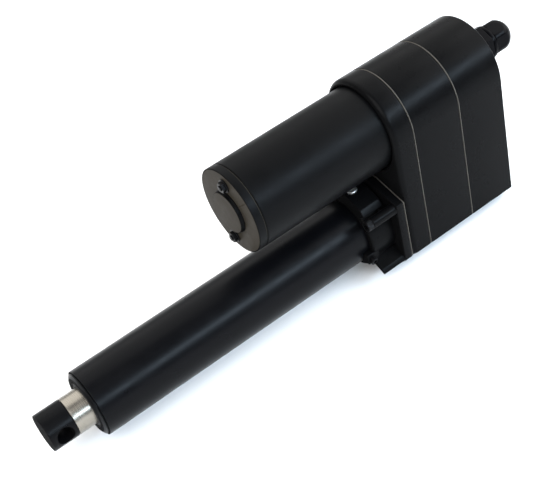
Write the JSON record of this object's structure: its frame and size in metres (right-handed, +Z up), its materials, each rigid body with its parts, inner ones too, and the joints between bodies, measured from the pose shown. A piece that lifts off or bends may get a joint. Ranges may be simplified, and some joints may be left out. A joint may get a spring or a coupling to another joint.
{
  "type": "linear actuator",
  "caption": "Electric linear actuator: a motor beside the tube drives gears and a lead screw that push a rod out and pull it back.",
  "frame": {"origin": "centre of the rear clevis pin hole, on the screw axis, rod retracted", "axes": "+X forward along the extension rod, +Y to the left across the pin holes' axis, +Z up from the screw axis to the motor axis"},
  "size_m": [0.433, 0.075, 0.1465],
  "materials": {
    "tube_paint": "gloss",
    "housing_paint": "satin",
    "motor_paint": "satin",
    "motor_cap_paint": "satin",
    "rod_end_coating": "matte",
    "polished_steel": "polished",
    "steel": "satin",
    "zinc_screw": "satin",
    "black_screw": "satin",
    "bronze": "satin",
    "copper": "satin",
    "nylon": "matte",
    "black_plastic": "satin",
    "rubber": "matte",
    "gasket": "matte",
    "ferrite": "matte"
  },
  "bodies": {
    "frame": {"outer_tube": "tube_paint", "front_guide": "tube_paint", "rod_wiper_seal": "rubber", "switch_rail": "nylon", "limit_switch_retract": "black_plastic", "limit_switch_extend": "black_plastic", "thrust_bearing": "steel", "screw_front_bearing": "steel", "idler_pin": "steel", "motor_can": "motor_paint", "motor_end_cap": "motor_cap_paint", "motor_screw_top": "black_screw", "motor_screw_bottom": "black_screw", "magnet_left": "ferrite", "magnet_right": "ferrite", "motor_front_bearing": "steel", "motor_rear_bearing": "steel", "brush_plate": "nylon", "brush_left": "ferrite", "brush_right": "ferrite", "housing_front_plate": "housing_paint", "gear_case": "housing_paint", "rear_cover": "housing_paint", "gasket_front": "gasket", "gasket_rear": "gasket", "gasket_bracket": "gasket", "tube_bracket": "housing_paint", "bracket_screw_upper_left": "black_screw", "bracket_screw_upper_right": "black_screw", "bracket_screw_lower_left": "black_screw", "bracket_screw_lower_right": "black_screw", "clamp_screw": "zinc_screw", "lock_screw": "black_screw", "rear_clevis": "housing_paint", "gland_body": "black_plastic", "gland_cap_nut": "black_plastic", "gland_seal": "rubber", "terminal_block": "nylon", "housing_bolt_top_left": "black_screw", "housing_bolt_top_right": "black_screw", "housing_bolt_middle_left": "black_screw", "housing_bolt_middle_right": "black_screw", "housing_bolt_bottom_left": "black_screw", "housing_bolt_bottom_right": "black_screw"},
    "rotor": {"motor_shaft": "steel", "armature_core": "steel", "commutator": "copper", "motor_pinion": "steel"},
    "idler": {"idler_gear": "nylon"},
    "screw": {"lead_screw": "steel", "output_gear": "steel", "screw_lock_nut": "zinc_screw", "screw_tip_washer": "nylon"},
    "rod": {"extension_rod": "polished_steel", "rod_end_cap": "rod_end_coating", "drive_nut": "bronze", "nut_guide_ring": "nylon"}
  },
  "joints": [
    {"name": "motor_spin", "type": "hinge", "parent": "frame", "child": "rotor", "pos_m": [0.15, 0, 0.076], "axis": [-1, 0, 0], "range_deg": [0, 28350]},
    {"name": "idler_spin", "type": "hinge", "parent": "frame", "child": "idler", "pos_m": [0.07, 0, 0.044], "axis": [-1, 0, 0], "range_deg": [-9450, 0]},
    {"name": "screw_spin", "type": "hinge", "parent": "frame", "child": "screw", "pos_m": [0.07, 0, 0], "axis": [-1, 0, 0], "range_deg": [0, 5400]},
    {"name": "rod_slide", "type": "slide", "parent": "frame", "child": "rod", "axis": [1, 0, 0], "range_m": [0, 0.15]}
  ],
  "couplings": [
    {"joint": "idler_spin", "follows": "motor_spin", "ratio": -0.33333},
    {"joint": "screw_spin", "follows": "motor_spin", "ratio": 0.19048},
    {"joint": "rod_slide", "follows": "motor_spin", "m_per_rad": 0.00030315}
  ]
}
